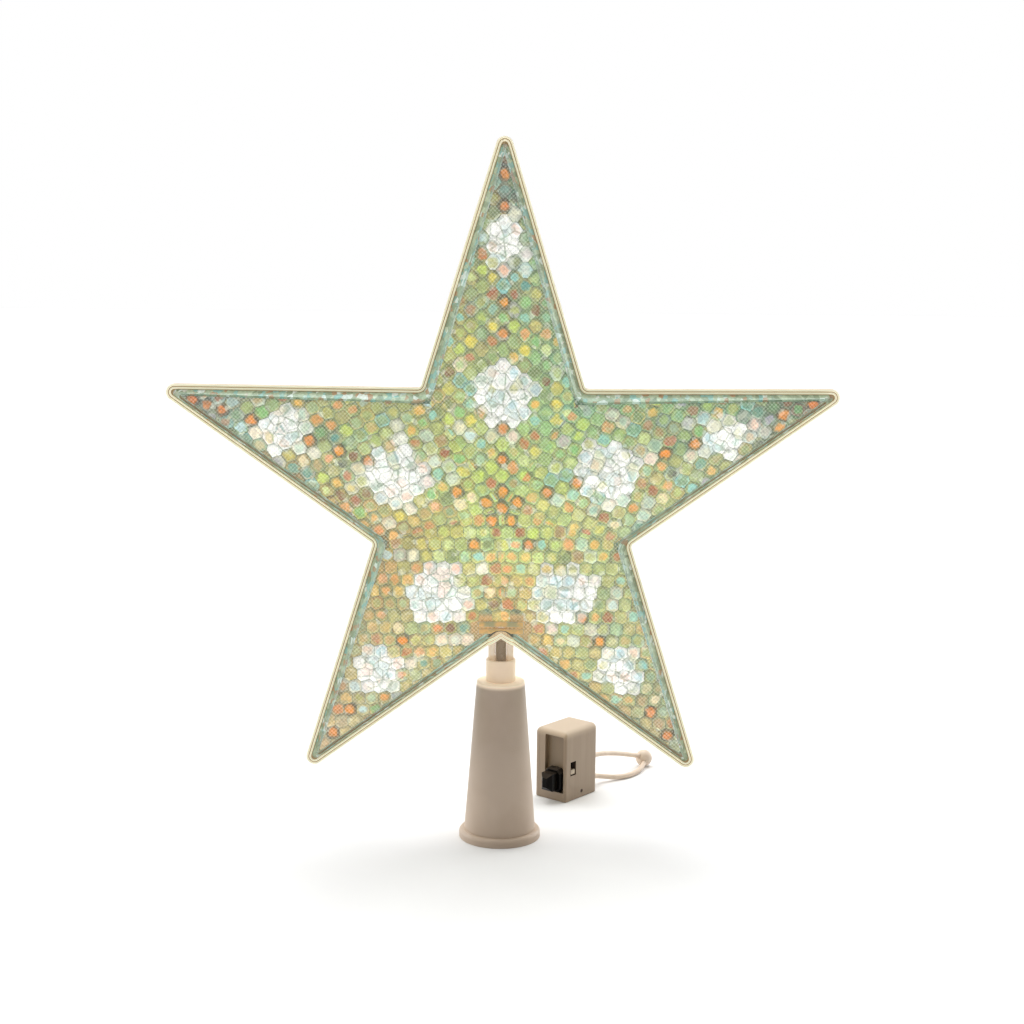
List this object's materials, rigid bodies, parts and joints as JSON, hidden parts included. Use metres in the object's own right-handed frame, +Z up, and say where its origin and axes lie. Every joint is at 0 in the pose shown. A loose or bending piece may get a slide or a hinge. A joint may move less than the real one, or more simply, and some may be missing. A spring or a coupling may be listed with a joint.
{
  "type": "christmas tree topper star",
  "caption": "Lit five-pointed tree topper star with faceted clear shells and prismatic film, on a plug neck and hollow cone, with a small battery box and its hanging loop.",
  "frame": {"origin": "centre of the cone's mouth, on the plane of its foot", "axes": "+Z up along the cone and the neck, the star faces -Y, +X to the viewer's right"},
  "size_m": [0.3334, 0.1436, 0.3531],
  "materials": {
    "cone_plastic": "satin moulded",
    "pin_plastic": "glossy moulded",
    "collar_plastic": "frosted translucent",
    "neck_plastic": "clear moulded",
    "shell_plastic": "clear moulded, faceted",
    "prism_film": "prismatic embossed film",
    "holder_plastic": "satin moulded",
    "lamp_lens": "clear lens, warm white light",
    "wire_cover": "smooth extruded",
    "case_plastic": "satin moulded",
    "knob_plastic": "glossy moulded",
    "mode_plastic": "satin moulded",
    "indicator_lens": "tinted lens",
    "board_laminate": "coated laminate",
    "switch_plastic": "matt moulded",
    "contact_metal": "plated sheet",
    "cell_metal": "brushed can",
    "screw_metal": "plated",
    "gland_rubber": "matt",
    "loop_cord": "smooth, limp",
    "bead_plastic": "satin moulded"
  },
  "bodies": {
    "base": {"cone_base": "cone_plastic", "centre_pin": "pin_plastic"},
    "collar": {"neck_collar": "collar_plastic"},
    "star": {"neck_tube": "neck_plastic", "front_shell": "shell_plastic", "back_shell": "shell_plastic", "front_film": "prism_film", "back_film": "prism_film", "lamp_holder_1": "holder_plastic", "lamp_holder_2": "holder_plastic", "lamp_holder_3": "holder_plastic", "lamp_holder_4": "holder_plastic", "lamp_holder_5": "holder_plastic", "lamp_holder_6": "holder_plastic", "lamp_holder_7": "holder_plastic", "lamp_holder_8": "holder_plastic", "lamp_holder_9": "holder_plastic", "lamp_holder_10": "holder_plastic", "led_lamp_1": "lamp_lens", "led_lamp_2": "lamp_lens", "led_lamp_3": "lamp_lens", "led_lamp_4": "lamp_lens", "led_lamp_5": "lamp_lens", "led_lamp_6": "lamp_lens", "led_lamp_7": "lamp_lens", "led_lamp_8": "lamp_lens", "led_lamp_9": "lamp_lens", "led_lamp_10": "lamp_lens", "light_wires": "wire_cover", "star_lead_gland": "holder_plastic"},
    "box": {"case_body": "case_plastic", "indicator_lamp": "indicator_lens", "control_board": "board_laminate", "mode_switch_body": "switch_plastic", "power_switch_body": "switch_plastic", "cell_tray": "switch_plastic", "coin_cell_1": "cell_metal", "coin_cell_2": "cell_metal", "cell_leaf": "contact_metal", "cell_plate": "contact_metal", "box_lead_gland": "gland_rubber", "loop_upper": "loop_cord", "loop_lower": "loop_cord", "loop_bead": "bead_plastic"},
    "power_slider": {"power_knob": "knob_plastic", "power_bridge": "contact_metal"},
    "mode_slider": {"mode_knob": "mode_plastic"},
    "door": {"battery_door": "case_plastic", "door_screw": "screw_metal"}
  },
  "joints": [
    {"name": "pull_off", "type": "slide", "parent": "base", "child": "collar", "axis": [0, 0, 1], "range_m": [0, 0.04]},
    {"name": "swivel", "type": "hinge", "parent": "collar", "child": "star", "pos_m": [0, 0, 0.0936], "axis": [0, 0, 1], "range_deg": [-180, 180]},
    {"name": "box_slide", "type": "slide", "parent": "base", "child": "box", "axis": [0.6428, 0.766, 0], "range_m": [0, 0.15]},
    {"name": "power_slide", "type": "slide", "parent": "box", "child": "power_slider", "axis": [0, 0, 1], "range_m": [0, 0.004]},
    {"name": "mode_slide", "type": "slide", "parent": "box", "child": "mode_slider", "axis": [0, 0, 1], "range_m": [0, 0.0038]},
    {"name": "door_off", "type": "slide", "parent": "box", "child": "door", "axis": [-0.766, 0.6428, 0], "range_m": [0, 0.03]}
  ]
}
